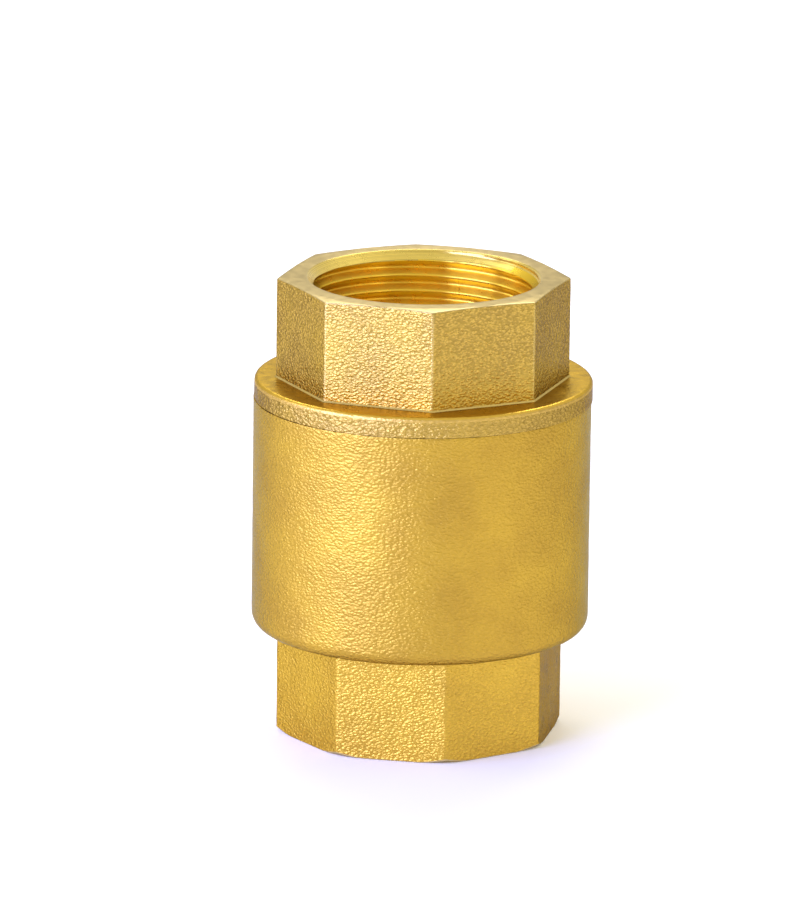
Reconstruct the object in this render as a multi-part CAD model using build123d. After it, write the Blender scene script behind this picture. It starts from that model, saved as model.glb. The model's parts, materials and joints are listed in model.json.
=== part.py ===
"""Spring check valve, G1 x G1, DN25: a forged brass body and cap around a spring-loaded poppet.

All sizes are in millimetres. +Z is the flow direction and the axis of the valve. The origin is the
centre of the inlet end face. Heights named *_z are measured from that face.

The body carries the inlet port, the seat and the chamber. The cap carries the outlet port and screws
into the top of the body on an O-ring. Inside, the poppet (disc, rubber seal, retainer, stem, lock
washer, nut and stop washer) slides in two spoked guides, and the spring between the upper guide and
the disc shuts it. Each physical piece is written to its own STEP file in parts/.
"""

import math
import os

from build123d import *

# ---------------------------------------------------------------- driving dimensions
TOTAL_H = 66.6
BARREL_R = 24.25
BARREL_Z = 15.2  # underside of the round barrel
SEAM_Z = 48.9  # where the cap's flange sits on the body
FLANGE_R = 24.42
FLANGE_TOP_Z = 51.95
SEAM_BREAK = 0.15  # edge break on both sides of the seam
BODY_ACROSS_FLATS = 38.6
CAP_ACROSS_FLATS = 39.0
BODY_TURN = 22.5  # angle of an octagon corner from -Y: the body's flats face along X and Y
CAP_TURN = 15.1  # where the cap's octagon stopped when it was tightened

# ISO 228 G1 internal thread, at the top of its minor diameter tolerance
PORT_PITCH = 2.309
PORT_MINOR_R = 15.465
PORT_MAJOR_R = 16.625
PORT_CREST = 0.72  # flat left on each ridge
PORT_ROOT = 0.35  # flat at the bottom of each groove
PORT_TURNS = 5.9
PORT_DEPTH = 13.4  # end face to the shoulder that stops the pipe
PORT_CHAMFER_R = 16.8
PORT_RELIEF_R = 16.9
PORT_RELIEF_H = 1.6
INLET_GROOVE_Z = -1.4  # middle of the inlet's groove at its lower end, outside the end face
OUTLET_GROOVE_RISE = 1.05  # the same at the outlet, above its shoulder and inside the relief
OUTLET_GROOVE_TURN = -3.5  # turn of that end from +X towards +Y

# M44 x 1.5 thread that joins the cap to the body
JOINT_PITCH = 1.5
JOINT_MALE_R = 21.92
JOINT_MALE_ROOT_R = 21.06
JOINT_FEMALE_R = 21.2
JOINT_FEMALE_ROOT_R = 22.05
JOINT_FLANK = math.tan(math.radians(30))
JOINT_PLAY = 0.08  # axial backlash, shared by the two threads

LIFT = 5.5  # travel of the poppet from the seat to its stop
STOP_GAP = 0.05  # left between the stop washer and the guide at full lift
SEAT_Z = 22.0  # crest of the seat lip
SEAT_GAP = 0.02  # rest clearance between the seal and the lip
ORIFICE_R = 12.5
RING_GROOVE_H = 1.1  # height of both retaining ring grooves
CHAMBER_R = 20.6
RUNNING = 0.05  # radial clearance of a running fit
SEATED = 0.03  # radial clearance of a part dropped or pressed into its seat

UP = (Align.CENTER, Align.CENTER, Align.MIN)


# ---------------------------------------------------------------- shared shapes
def disc(radius, z0, z1):
    """Solid cylinder on the axis from height z0 to z1."""
    return Pos(0, 0, z0) * Cylinder(radius, z1 - z0, align=UP)


def ring(inner, outer, z0, z1):
    """Flat ring on the axis."""
    return disc(outer, z0, z1) - disc(inner, z0 - 1, z1 + 1)


def frustum(r0, r1, z0, z1):
    """Cone frustum on the axis, radius r0 at z0 and r1 at z1."""
    return Pos(0, 0, z0) * Cone(r0, r1, z1 - z0, align=UP)


def turned(points):
    """Solid of revolution about Z from an outline of (radius, height) points."""
    outline = Polyline(*[(r, 0, z) for r, z in points], close=True)
    return revolve(make_face(outline), Axis.Z)


def octagon(across_flats, turn, z0, z1):
    """Octagonal prism with one corner at the angle turn from -Y, towards +X."""
    corner_r = across_flats / 2 / math.cos(math.pi / 8)
    face = RegularPolygon(corner_r, 8, rotation=turn - 90)
    return Pos(0, 0, z0) * extrude(face, z1 - z0)


def vertical_edges(shape, least_length):
    """Straight edges along Z, at least that long."""
    return [e for e in shape.edges().filter_by(Axis.Z) if e.length > least_length]


def circles_at(shape, radius, z):
    """Circular edges of that radius at that height."""
    return [
        e
        for e in shape.edges().filter_by(GeomType.CIRCLE)
        if abs(e.radius - radius) < 1e-3 and abs(e.center().Z - z) < 1e-3
    ]


def outline_at(shape, z, radius):
    """Edges lying in the plane at that height, with their middles no further out than the radius."""
    return [
        e
        for e in shape.edges()
        if e.bounding_box().size.Z < 1e-3
        and abs(e.center().Z - z) < 1e-3
        and math.hypot((e @ 0.5).X, (e @ 0.5).Y) < radius + 0.01
    ]


def helical_groove(open_r, root_r, open_w, root_w, pitch, z_start, turns, overcut=0.3):
    """Cutter for a right-hand thread groove, open_w wide at open_r and root_w wide at root_r.

    The flanks run on past open_r by overcut, so that the cutter breaks cleanly through the surface.
    z_start is the height of the groove's middle on the +X side.
    """
    side = 1 if open_r > root_r else -1
    flank = (open_w - root_w) / 2 / abs(open_r - root_r)
    mouth_r = open_r + side * overcut
    mouth_half = open_w / 2 + flank * overcut
    corners = [
        (mouth_r, 0, z_start - mouth_half),
        (root_r, 0, z_start - root_w / 2),
        (root_r, 0, z_start + root_w / 2),
        (mouth_r, 0, z_start + mouth_half),
    ]
    path = Helix(pitch=pitch, height=pitch * turns, radius=open_r, center=(0, 0, z_start))
    return sweep(Face(Wire.make_polygon(corners, close=True)), path=path, is_frenet=True)


def cut_groove(blank, groove):
    """The blank with a thread groove cut into it. Stops the build if hardly anything was cut."""
    result = blank - groove
    if blank.volume - result.volume < 0.3 * groove.volume:
        raise ValueError("a thread groove was not cut")
    return result


# ---------------------------------------------------------------- threads
def port_thread(z_start, start_angle):
    """Cutter for the G1 pipe thread of either port. One end of it lies in the port's relief, the other
    outside the end face. start_angle turns its lower end from +X."""
    groove = helical_groove(
        PORT_MINOR_R,
        PORT_MAJOR_R,
        PORT_PITCH - PORT_CREST,
        PORT_ROOT,
        PORT_PITCH,
        z_start,
        PORT_TURNS,
    )
    return groove.rotate(Axis.Z, start_angle)


JOINT_BOTTOM_Z = 42.6  # end of the cap's threaded spigot
JOINT_NECK_Z = 47.2  # start of the O-ring neck above the thread
JOINT_START_Z = JOINT_BOTTOM_Z - 1.2
JOINT_TURNS = 5.0


def joint_ridge_width(radius):
    """Axial width of the male ridge of the M44 x 1.5 thread at a radius, with its share of the play."""
    return JOINT_PITCH / 8 + 2 * (22.0 - radius) * JOINT_FLANK - JOINT_PLAY / 2


def joint_male_groove():
    """Cutter for the groove between the ridges of the cap's spigot."""
    return helical_groove(
        JOINT_MALE_R,
        JOINT_MALE_ROOT_R,
        JOINT_PITCH - joint_ridge_width(JOINT_MALE_R),
        JOINT_PITCH - joint_ridge_width(JOINT_MALE_ROOT_R),
        JOINT_PITCH,
        JOINT_START_Z,
        JOINT_TURNS,
    )


def joint_female_groove():
    """Cutter for the groove in the body that the cap's ridges run in, half a pitch further up."""
    return helical_groove(
        JOINT_FEMALE_R,
        JOINT_FEMALE_ROOT_R,
        joint_ridge_width(JOINT_FEMALE_R) + JOINT_PLAY,
        joint_ridge_width(JOINT_FEMALE_ROOT_R) + JOINT_PLAY,
        JOINT_PITCH,
        JOINT_START_Z - JOINT_PITCH / 2,
        JOINT_TURNS,
    )


# ---------------------------------------------------------------- body
BODY_CORNER_FILLET = 0.7
BARREL_FILLET = 2.0
BODY_CHAMFER_R = 19.75  # where the turned chamfer starts on the inlet end face
END_CHAMFER_SLOPE = math.tan(math.radians(30))
FLOOR_Z = 18.5  # chamber floor around the raised seat
SEAT_OUTER_R = 15.2
LIP_OUTER_R = 14.4
LIP_STEP = 0.8
MOUTH_BEVEL = 0.6  # breaks the edge of the orifice under the lip
GUIDE_SEAT_R = 14.4  # counterbore of the lower guide
GUIDE_SEAT_TOP_Z = 17.2
LOW_GROOVE_R = 15.05  # groove of the lower retaining ring
LOW_GROOVE_Z = 13.85
JOINT_RELIEF_R = 22.25
JOINT_RELIEF_Z = 40.8
JOINT_RELIEF_TOP_Z = 42.2
SEAL_BORE_R = 22.45  # counterbore that the O-ring seals against
SEAL_BORE_Z = 47.3
SEAL_BEVEL = 0.4  # lets the O-ring in without nicking it
FLOOR_CORNER = 1.2  # bevel between the chamber's floor and wall


def inlet_end_chamfer(corner_r):
    """Cutter for the 30 degree chamfer turned on the corners of the inlet octagon."""
    over = corner_r + 1
    rise = (over - BODY_CHAMFER_R) * END_CHAMFER_SLOPE
    return turned([(BODY_CHAMFER_R, 0), (over, 0), (over, rise)])


def make_body():
    corner_r = BODY_ACROSS_FLATS / 2 / math.cos(math.pi / 8)
    inlet = octagon(BODY_ACROSS_FLATS, BODY_TURN, 0, BARREL_Z + 1)
    inlet = fillet(vertical_edges(inlet, 5), BODY_CORNER_FILLET)
    inlet -= inlet_end_chamfer(corner_r)
    barrel = disc(BARREL_R, BARREL_Z, SEAM_Z)
    barrel = fillet(circles_at(barrel, BARREL_R, BARREL_Z), BARREL_FILLET)
    barrel = chamfer(circles_at(barrel, BARREL_R, SEAM_Z), SEAM_BREAK)
    body = inlet + barrel

    # inlet port: tapped bore, entry chamfer and thread relief
    body -= disc(PORT_MINOR_R, -1, PORT_DEPTH)
    body = cut_groove(body, port_thread(INLET_GROOVE_Z, 0))
    entry = PORT_CHAMFER_R - PORT_MINOR_R + 0.1
    body -= frustum(PORT_CHAMFER_R, PORT_MINOR_R - 0.1, 0, entry)
    body -= disc(PORT_RELIEF_R, PORT_DEPTH - PORT_RELIEF_H, PORT_DEPTH)

    # orifice, counterbore of the lower guide and groove of its retaining ring
    body -= disc(ORIFICE_R, PORT_DEPTH - 1, SEAT_Z + 1)
    body -= disc(GUIDE_SEAT_R, PORT_DEPTH - 1, GUIDE_SEAT_TOP_Z)
    body -= disc(LOW_GROOVE_R, LOW_GROOVE_Z, LOW_GROOVE_Z + RING_GROOVE_H)
    body -= frustum(ORIFICE_R, ORIFICE_R + MOUTH_BEVEL, SEAT_Z - MOUTH_BEVEL, SEAT_Z)

    # joint thread with its relief and the O-ring counterbore, then the chamber around the seat
    body -= disc(JOINT_FEMALE_R, JOINT_RELIEF_TOP_Z - 2, SEAM_Z + 1)
    body = cut_groove(body, joint_female_groove())
    body -= disc(JOINT_RELIEF_R, JOINT_RELIEF_Z, JOINT_RELIEF_TOP_Z)
    body -= disc(SEAL_BORE_R, SEAL_BORE_Z, SEAM_Z + 1)
    body -= frustum(SEAL_BORE_R, SEAL_BORE_R + SEAL_BEVEL, SEAM_Z - SEAL_BEVEL, SEAM_Z)
    moat = [
        (0, SEAT_Z),
        (LIP_OUTER_R, SEAT_Z),
        (LIP_OUTER_R + 0.3, SEAT_Z - LIP_STEP),
        (SEAT_OUTER_R, SEAT_Z - LIP_STEP),
        (SEAT_OUTER_R + 0.5, FLOOR_Z),
        (CHAMBER_R - FLOOR_CORNER, FLOOR_Z),
        (CHAMBER_R, FLOOR_Z + FLOOR_CORNER),
        (CHAMBER_R, JOINT_RELIEF_Z + 0.5),
        (0, JOINT_RELIEF_Z + 0.5),
    ]
    return body - turned(moat)


# ---------------------------------------------------------------- cap
CAP_CORNER_FILLET = 0.55
CAP_BASE_FILLET = 0.6
CAP_TOP_FILLET = 0.3
FLANGE_FILLET = 0.9
NECK_R = 20.9
SPIGOT_BORE_R = 18.2
UPPER_SEAT_Z = 48.6  # shoulder that the upper guide is pressed against
UPPER_RIM_Z = 45.8  # underside of the upper guide's rim and arms
OUTLET_BORE_R = 14.0
JOINT_LEAD = 0.8  # height of the bevel at the end of the spigot's thread
SPIGOT_BEVEL = 0.6
HIGH_GROOVE_R = 18.9  # groove of the upper retaining ring
HIGH_GROOVE_Z = UPPER_RIM_Z - RING_GROOVE_H


def make_cap():
    corner_r = CAP_ACROSS_FLATS / 2 / math.cos(math.pi / 8)
    outlet = octagon(CAP_ACROSS_FLATS, CAP_TURN, FLANGE_TOP_Z - 1, TOTAL_H)
    outlet = fillet(vertical_edges(outlet, 5), CAP_CORNER_FILLET)
    flange = disc(FLANGE_R, SEAM_Z, FLANGE_TOP_Z)
    flange = fillet(circles_at(flange, FLANGE_R, FLANGE_TOP_Z), FLANGE_FILLET)
    flange = chamfer(circles_at(flange, FLANGE_R, SEAM_Z), SEAM_BREAK)
    cap = outlet + flange
    cap = fillet(outline_at(cap, FLANGE_TOP_Z, corner_r), CAP_BASE_FILLET)
    cap = fillet(outline_at(cap, TOTAL_H, corner_r), CAP_TOP_FILLET)

    # threaded spigot with the O-ring neck
    spigot = cut_groove(disc(JOINT_MALE_R, JOINT_BOTTOM_Z, SEAM_Z), joint_male_groove())
    spigot -= ring(NECK_R, JOINT_MALE_R + 1, JOINT_NECK_Z, SEAM_Z)
    lead_z = JOINT_BOTTOM_Z + JOINT_LEAD
    lead = frustum(JOINT_MALE_ROOT_R - 0.04, JOINT_MALE_R - 0.1, JOINT_BOTTOM_Z, lead_z)
    spigot -= disc(JOINT_MALE_R + 1, JOINT_BOTTOM_Z, lead_z) - lead
    cap += spigot

    # outlet port: tapped bore, entry chamfer and thread relief
    shoulder_z = TOTAL_H - PORT_DEPTH
    cap -= disc(PORT_MINOR_R, shoulder_z, TOTAL_H + 1)
    cap = cut_groove(cap, port_thread(shoulder_z + OUTLET_GROOVE_RISE, OUTLET_GROOVE_TURN))
    entry = PORT_CHAMFER_R - PORT_MINOR_R + 0.1
    cap -= frustum(PORT_MINOR_R - 0.1, PORT_CHAMFER_R, TOTAL_H - entry, TOTAL_H)
    cap -= disc(PORT_RELIEF_R, shoulder_z, shoulder_z + PORT_RELIEF_H)

    # outlet bore and the seat of the upper guide
    cap -= disc(OUTLET_BORE_R, JOINT_BOTTOM_Z - 1, shoulder_z + 1)
    cap -= disc(SPIGOT_BORE_R, JOINT_BOTTOM_Z - 1, UPPER_SEAT_Z)
    bevel_z = JOINT_BOTTOM_Z + SPIGOT_BEVEL
    cap -= frustum(SPIGOT_BORE_R + SPIGOT_BEVEL, SPIGOT_BORE_R, JOINT_BOTTOM_Z, bevel_z)
    cap -= disc(HIGH_GROOVE_R, HIGH_GROOVE_Z, HIGH_GROOVE_Z + RING_GROOVE_H)
    return cap


def make_cap_o_ring():
    """O-ring as squeezed between the cap's neck and the body's counterbore."""
    mid_r = (NECK_R + SEAL_BORE_R) / 2
    section_r = (SEAL_BORE_R - NECK_R) / 2 - 0.01
    return Pos(0, 0, SEAM_Z - section_r - 0.03) * Torus(mid_r, section_r)


# ---------------------------------------------------------------- heights of the moving stack
SEAL_T = 2.4
DISC_T = 3.2
RETAINER_T = 1.5
LOCK_WASHER_T = 1.4
NUT_H = 5.0
STOP_WASHER_T = 1.0
LOCK_WASHER_R = 5.4
STOP_WASHER_R = 5.0

SEAL_Z = SEAT_Z + SEAT_GAP
RETAINER_Z = SEAL_Z - RETAINER_T
DISC_Z = SEAL_Z + SEAL_T
DISC_TOP_Z = DISC_Z + DISC_T
NUT_Z = DISC_TOP_Z + LOCK_WASHER_T
STOP_WASHER_Z = NUT_Z + NUT_H
STACK_TOP_Z = STOP_WASHER_Z + STOP_WASHER_T

STEM_LOW_R = 3.5  # lower pilot of the stem
STEM_THREAD_R = 3.0  # M6 section that the disc is clamped on
STEM_TOP_R = 2.4  # upper pilot, small enough for the nut to pass over
STEM_BOTTOM_Z = 12.2
STEM_TOP_Z = 49.2


# ---------------------------------------------------------------- guides
ARMS = 4
ARM_W = 2.6
BUSH_WALL = 0.9
BUSH_LIP = 0.6  # thickness of the bush's flange
BUSH_LIP_W = 0.8  # how far that flange stands out from the sleeve

LOW_RIM_Z = LOW_GROOVE_Z + RING_GROOVE_H
LOW_HUB_Z = 13.6
LOW_HUB_TOP_Z = 20.2
LOW_HUB_WALL = 1.3
HIGH_HUB_Z = STACK_TOP_Z + LIFT + STOP_GAP
HIGH_HUB_TOP_Z = 48.6
HIGH_HUB_WALL = 1.5
HUB_FILLET = 0.4
SPRING_PILOT_R = 6.1  # collar that centres the top of the spring
SPRING_PILOT_H = 2.4
SPRING_SHELF_R = 8.2
SPRING_SHELF_T = 0.8


def hub_bore(shaft_r):
    """Radius of the hub's bore for the bush that guides a shaft."""
    return shaft_r + RUNNING + BUSH_WALL + SEATED


def guide_arms(inner_r, outer_r, z0, z1):
    """The arms of a spoked guide, on the diagonals, sunk a little into the hub and the rim."""
    sunk = 0.6
    length = outer_r - inner_r + 2 * sunk
    arm = Pos((inner_r + outer_r) / 2, 0, (z0 + z1) / 2) * Box(length, ARM_W, z1 - z0)
    arm = fillet(arm.edges().filter_by(Axis.X), 0.5)
    return [Rot(0, 0, 45 + 360 / ARMS * k) * arm for k in range(ARMS)]


def make_lower_guide():
    bore_r = hub_bore(STEM_LOW_R)
    hub_r = bore_r + LOW_HUB_WALL
    rim_r = ORIFICE_R - 0.4
    hub = disc(hub_r, LOW_HUB_Z, LOW_HUB_TOP_Z)
    guide = fillet(circles_at(hub, hub_r, LOW_HUB_TOP_Z), HUB_FILLET)
    guide += ring(rim_r, GUIDE_SEAT_R - SEATED, LOW_RIM_Z, GUIDE_SEAT_TOP_Z)
    guide += guide_arms(hub_r, rim_r, LOW_RIM_Z, GUIDE_SEAT_TOP_Z)
    return guide - disc(bore_r, LOW_HUB_Z - 1, LOW_HUB_TOP_Z + 1)


def make_upper_guide():
    bore_r = hub_bore(STEM_TOP_R)
    hub_r = bore_r + HIGH_HUB_WALL
    rim_r = OUTLET_BORE_R + 0.2
    hub = disc(hub_r, HIGH_HUB_Z, HIGH_HUB_TOP_Z)
    pilot_z = UPPER_RIM_Z - SPRING_PILOT_H
    pilot = disc(SPRING_PILOT_R, pilot_z, UPPER_RIM_Z + 0.4)
    guide = fillet(circles_at(hub, hub_r, HIGH_HUB_Z), HUB_FILLET)
    guide += fillet(circles_at(pilot, SPRING_PILOT_R, pilot_z), HUB_FILLET)
    guide += disc(SPRING_SHELF_R, UPPER_RIM_Z, UPPER_RIM_Z + SPRING_SHELF_T)
    guide += ring(rim_r, SPIGOT_BORE_R - SEATED, UPPER_RIM_Z, UPPER_SEAT_Z)
    guide += guide_arms(hub_r, rim_r, UPPER_RIM_Z, UPPER_SEAT_Z - 0.4)
    return guide - disc(bore_r, HIGH_HUB_Z - 1, HIGH_HUB_TOP_Z + 1)


def make_bush(shaft_r, z0, z1, lip_z):
    """Sleeve pressed into a guide's hub, with a thin flange standing on lip_z."""
    inner = shaft_r + RUNNING
    outer = inner + BUSH_WALL
    return ring(inner, outer, z0, z1) + ring(inner, outer + BUSH_LIP_W, lip_z, lip_z + BUSH_LIP)


def make_lower_bush():
    return make_bush(STEM_LOW_R, LOW_HUB_Z, LOW_HUB_TOP_Z, LOW_HUB_Z - BUSH_LIP)


def make_upper_bush():
    return make_bush(STEM_TOP_R, HIGH_HUB_Z, HIGH_HUB_TOP_Z, HIGH_HUB_TOP_Z)


# ---------------------------------------------------------------- retaining rings
RING_PLAY = 0.05  # between a ring and each wall of its groove
LUG_R = 1.7
LUG_HOLE_R = 0.75
LUG_INSET = 0.55  # from the ring's inner edge out to the middle of the lug


def retaining_ring(groove_r, groove_z, width, gap):
    """Internal snap ring in its groove, open over gap degrees on each side of -Y."""
    z0 = groove_z + RING_PLAY
    height = RING_GROOVE_H - 2 * RING_PLAY
    outer = groove_r - RING_PLAY
    inner = outer - width
    opening_w = 2 * outer * math.sin(math.radians(gap))
    snap = ring(inner, outer, z0, z0 + height)
    snap -= Pos(0, -outer, z0 + height / 2) * Box(opening_w, 3 * width, 3 * height)
    lug_r = inner + LUG_INSET
    for side in (-1, 1):
        angle = math.radians(side * gap - 90) + side * LUG_R / lug_r
        centre = Pos(lug_r * math.cos(angle), lug_r * math.sin(angle), z0)
        snap += (centre * Cylinder(LUG_R, height, align=UP)) & disc(outer, z0, z0 + height)
        snap -= centre * Cylinder(LUG_HOLE_R, 3 * height)
    return snap


def make_lower_retaining_ring():
    return retaining_ring(LOW_GROOVE_R, LOW_GROOVE_Z, 2.25, 14)


def make_upper_retaining_ring():
    return retaining_ring(HIGH_GROOVE_R, HIGH_GROOVE_Z, 2.3, 11)


# ---------------------------------------------------------------- poppet
SEAL_HOLE_R = 7.5
SEAL_R = 15.4
DISC_R = 16.6
SPRING_LAND_R = 10.8
SKIRT_Z = SEAL_Z + 0.7  # lower edge of the disc's skirt round the seal
RETAINER_R = 11.3
CLAMP_HOLE_R = STEM_THREAD_R + 0.1
NUT_AF = 10.0


def make_poppet_disc():
    """Turned disc with a skirt round the seal and a raised land for the spring."""
    points = [
        (CLAMP_HOLE_R, DISC_Z),
        (SEAL_R + 0.05, DISC_Z),
        (SEAL_R + 0.05, SKIRT_Z),
        (DISC_R - 0.3, SKIRT_Z),
        (DISC_R, SKIRT_Z + 0.3),
        (DISC_R, DISC_TOP_Z - 1.6),
        (DISC_R - 0.8, DISC_TOP_Z - 0.9),
        (SPRING_LAND_R + 0.6, DISC_TOP_Z - 0.5),
        (SPRING_LAND_R, DISC_TOP_Z),
        (CLAMP_HOLE_R, DISC_TOP_Z),
    ]
    return turned(points)


def make_disc_seal():
    seal = ring(SEAL_HOLE_R, SEAL_R, SEAL_Z, DISC_Z)
    return fillet(circles_at(seal, SEAL_R, SEAL_Z), 0.4)


def make_seal_retainer():
    """Plate that clamps the seal's inner edge, with a spigot that centres the seal."""
    points = [
        (CLAMP_HOLE_R, RETAINER_Z),
        (RETAINER_R - 0.5, RETAINER_Z),
        (RETAINER_R, RETAINER_Z + 0.5),
        (RETAINER_R, SEAL_Z),
        (SEAL_HOLE_R - 0.05, SEAL_Z),
        (SEAL_HOLE_R - 0.05, DISC_Z),
        (CLAMP_HOLE_R, DISC_Z),
    ]
    return turned(points)


def make_stem():
    """Stepped stem: wide lower pilot, M6 clamping section, slim upper pilot."""
    thread_top_z = STOP_WASHER_Z - 0.2
    points = [
        (0, STEM_BOTTOM_Z),
        (STEM_LOW_R - 0.5, STEM_BOTTOM_Z),
        (STEM_LOW_R, STEM_BOTTOM_Z + 0.5),
        (STEM_LOW_R, RETAINER_Z),
        (STEM_THREAD_R, RETAINER_Z),
        (STEM_THREAD_R, thread_top_z - 0.6),
        (STEM_TOP_R, thread_top_z),
        (STEM_TOP_R, STEM_TOP_Z - 0.5),
        (STEM_TOP_R - 0.5, STEM_TOP_Z),
        (0, STEM_TOP_Z),
    ]
    return turned(points)


def make_lock_washer():
    """Split spring washer, flattened under the nut."""
    mid_z = (DISC_TOP_Z + NUT_Z) / 2
    middle_r = (CLAMP_HOLE_R + LOCK_WASHER_R) / 2
    washer = ring(CLAMP_HOLE_R, LOCK_WASHER_R, DISC_TOP_Z, NUT_Z)
    slit = Rot(0, 0, 200) * Pos(middle_r, 0, mid_z) * Rot(25, 0, 0) * Box(4, 0.5, 4)
    return washer - slit


def make_nut():
    """Hexagon nut with both faces chamfered, its thread shown as a plain bore on the stem."""
    corner_r = NUT_AF / 2 / math.cos(math.pi / 6)
    top_z = NUT_Z + NUT_H
    bevel = (corner_r - NUT_AF / 2) * END_CHAMFER_SLOPE
    crown = disc(corner_r, NUT_Z + bevel, top_z - bevel)
    crown += frustum(NUT_AF / 2, corner_r, NUT_Z, NUT_Z + bevel)
    crown += frustum(corner_r, NUT_AF / 2, top_z - bevel, top_z)
    nut = Pos(0, 0, NUT_Z) * extrude(RegularPolygon(corner_r, 6), NUT_H)
    return (nut & crown) - disc(STEM_THREAD_R + 0.01, NUT_Z - 1, top_z + 1)


def make_stop_washer():
    """Plastic washer on top of the nut that meets the upper guide's hub at full lift."""
    washer = ring(STEM_TOP_R + 0.02, STOP_WASHER_R, STOP_WASHER_Z, STACK_TOP_Z)
    return fillet(circles_at(washer, STOP_WASHER_R, STACK_TOP_Z), 0.3)


# ---------------------------------------------------------------- spring
SPRING_R = 7.0  # mean radius
WIRE_R = 0.5
SPRING_GAP = 0.02  # between the ground ends and what they bear on
GROUND = 0.3  # height ground off the wire at each end
END_COILS = 1.0  # closed coils at each end
RAMP_COILS = 0.5  # coils over which the pitch opens up
OPEN_COILS = 4.0  # coils at full pitch
CLOSED_PITCH = 2 * WIRE_R + 0.02
POINTS_PER_COIL = 8
CUP_T = 0.5
CUP_INNER_R = 6.1
CUP_OUTER_R = 8.1
CUP_H = 1.6


def make_spring_cup():
    """Pressed seat that keeps the spring centred and off the disc's face."""
    cup = ring(CUP_INNER_R, CUP_OUTER_R, DISC_TOP_Z, DISC_TOP_Z + CUP_T)
    return cup + ring(CUP_OUTER_R - 0.4, CUP_OUTER_R, DISC_TOP_Z, DISC_TOP_Z + CUP_H)


def spring_rise(turns, open_pitch):
    """Height climbed after that many turns: closed coils, a ramp, open coils, a ramp, closed coils."""
    marks = [0, END_COILS, END_COILS + RAMP_COILS]
    marks += [marks[-1] + OPEN_COILS]
    marks += [marks[-1] + RAMP_COILS, marks[-1] + RAMP_COILS + END_COILS]
    pitches = [CLOSED_PITCH, CLOSED_PITCH, open_pitch, open_pitch, CLOSED_PITCH, CLOSED_PITCH]
    height = 0
    for k in range(5):
        span = marks[k + 1] - marks[k]
        done = min(max(turns - marks[k], 0), span)
        gain = (pitches[k + 1] - pitches[k]) * done / span
        height += done * (pitches[k] + gain / 2)
    return height


def make_spring():
    """Compression spring with closed and ground ends, as long as it is with the valve shut."""
    floor_z = DISC_TOP_Z + CUP_T + SPRING_GAP
    roof_z = UPPER_RIM_Z - SPRING_GAP
    low = floor_z + WIRE_R - GROUND
    high = roof_z - WIRE_R + GROUND
    closed_turns = 2 * END_COILS + RAMP_COILS
    open_pitch = (high - low - closed_turns * CLOSED_PITCH) / (OPEN_COILS + RAMP_COILS)
    coils = 2 * END_COILS + 2 * RAMP_COILS + OPEN_COILS
    steps = int(coils * POINTS_PER_COIL)
    points = []
    for k in range(steps + 1):
        turns = coils * k / steps
        angle = 2 * math.pi * turns
        height = low + spring_rise(turns, open_pitch)
        points.append((SPRING_R * math.cos(angle), SPRING_R * math.sin(angle), height))
    path = Spline(*points)
    section = Plane(origin=path @ 0, z_dir=path % 0) * Circle(WIRE_R)
    wire = sweep(section, path=path, is_frenet=True)
    return wire & disc(SPRING_R + 2, floor_z, roof_z)


# ---------------------------------------------------------------- export
PIECES = {
    "inlet_body": make_body,
    "outlet_cap": make_cap,
    "cap_o_ring": make_cap_o_ring,
    "lower_guide": make_lower_guide,
    "lower_guide_bush": make_lower_bush,
    "lower_retaining_ring": make_lower_retaining_ring,
    "upper_guide": make_upper_guide,
    "upper_guide_bush": make_upper_bush,
    "upper_retaining_ring": make_upper_retaining_ring,
    "poppet_disc": make_poppet_disc,
    "disc_seal": make_disc_seal,
    "seal_retainer": make_seal_retainer,
    "poppet_stem": make_stem,
    "stem_lock_washer": make_lock_washer,
    "stem_nut": make_nut,
    "stop_washer": make_stop_washer,
    "spring_cup": make_spring_cup,
    "return_spring": make_spring,
}


def main():
    os.makedirs("parts", exist_ok=True)
    for name, make in PIECES.items():
        shape = make()
        solids = shape.solids()
        print(f"{name}: {len(solids)} solid, {sum(s.volume for s in solids):.1f} mm3")
        export_step(shape, f"parts/{name}.step")


main()
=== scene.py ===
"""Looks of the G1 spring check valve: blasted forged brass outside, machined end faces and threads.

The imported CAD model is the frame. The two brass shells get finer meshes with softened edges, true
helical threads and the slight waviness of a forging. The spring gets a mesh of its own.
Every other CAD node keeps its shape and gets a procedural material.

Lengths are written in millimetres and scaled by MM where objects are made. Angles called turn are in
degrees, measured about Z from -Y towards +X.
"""

import json
import math

import bmesh
import bpy
import numpy as np
from mathutils import Matrix, Vector, noise


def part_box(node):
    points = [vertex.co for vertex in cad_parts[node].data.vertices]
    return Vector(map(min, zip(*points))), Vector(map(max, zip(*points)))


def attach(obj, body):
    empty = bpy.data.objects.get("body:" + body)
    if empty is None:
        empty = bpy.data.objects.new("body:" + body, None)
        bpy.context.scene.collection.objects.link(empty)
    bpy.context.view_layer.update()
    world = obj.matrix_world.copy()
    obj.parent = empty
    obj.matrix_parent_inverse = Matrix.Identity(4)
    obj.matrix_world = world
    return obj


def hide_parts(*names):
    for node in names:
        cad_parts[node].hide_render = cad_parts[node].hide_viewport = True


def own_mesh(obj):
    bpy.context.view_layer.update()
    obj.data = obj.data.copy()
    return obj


MM = 0.001

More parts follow.
